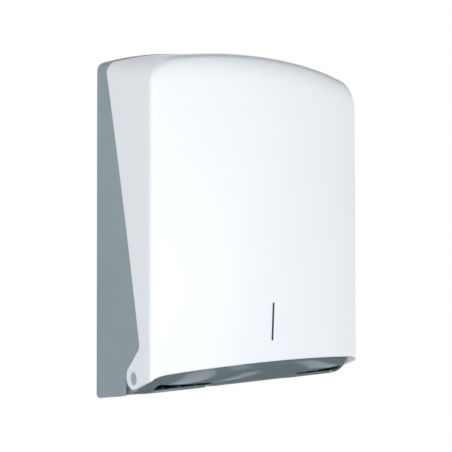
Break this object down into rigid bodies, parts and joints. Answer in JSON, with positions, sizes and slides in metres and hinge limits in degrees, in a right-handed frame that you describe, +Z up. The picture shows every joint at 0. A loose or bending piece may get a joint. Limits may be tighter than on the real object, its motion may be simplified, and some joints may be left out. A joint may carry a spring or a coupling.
{
  "type": "wall folded towel dispenser",
  "caption": "Wall-mounted folded paper towel dispenser with a bowed white cover that hinges forward at its foot, a grey back shell and a grey tray with a slot mouth below.",
  "frame": {"origin": "middle of the four wall screws, on the wall plane", "axes": "+Z up, +Y into the wall, -Y out of the front, +X to the right as seen from the front"},
  "size_m": [0.28, 0.1317, 0.3849],
  "materials": {
    "cover_plastic": "white ABS, semi-gloss",
    "shell_plastic": "blue-grey ABS, fine matt grain",
    "tray_plastic": "blue-grey ABS, gloss",
    "pin_plastic": "blue-grey acetal, satin",
    "washer_nylon": "natural nylon",
    "plated_steel": "zinc plated",
    "lock_chrome": "chrome plated"
  },
  "bodies": {
    "body": {"back_shell": "shell_plastic", "mouth_tray": "tray_plastic", "tray_screws": "plated_steel", "hinge_pin_left": "pin_plastic", "hinge_pin_right": "pin_plastic", "pin_clip_left": "plated_steel", "pin_clip_right": "plated_steel", "hinge_washer_left": "washer_nylon", "hinge_washer_right": "washer_nylon", "keeper": "plated_steel", "keeper_screws": "plated_steel", "towel_guide_left": "shell_plastic", "towel_guide_right": "shell_plastic"},
    "cover": {"front_cover": "cover_plastic", "lock_housing": "lock_chrome", "lock_washer": "plated_steel", "lock_nut": "plated_steel"},
    "key": {"lock_plug": "lock_chrome", "lock_cam": "plated_steel", "cam_screw": "plated_steel"}
  },
  "joints": [
    {"name": "cover_hinge", "type": "hinge", "parent": "body", "child": "cover", "pos_m": [0, -0.0768, -0.1702], "axis": [1, 0, 0], "range_deg": [0, 130]},
    {"name": "key_turn", "type": "hinge", "parent": "cover", "child": "key", "pos_m": [0, -0.046, 0.17668], "axis": [0, 0.1884, -0.9821], "range_deg": [0, 90]}
  ]
}
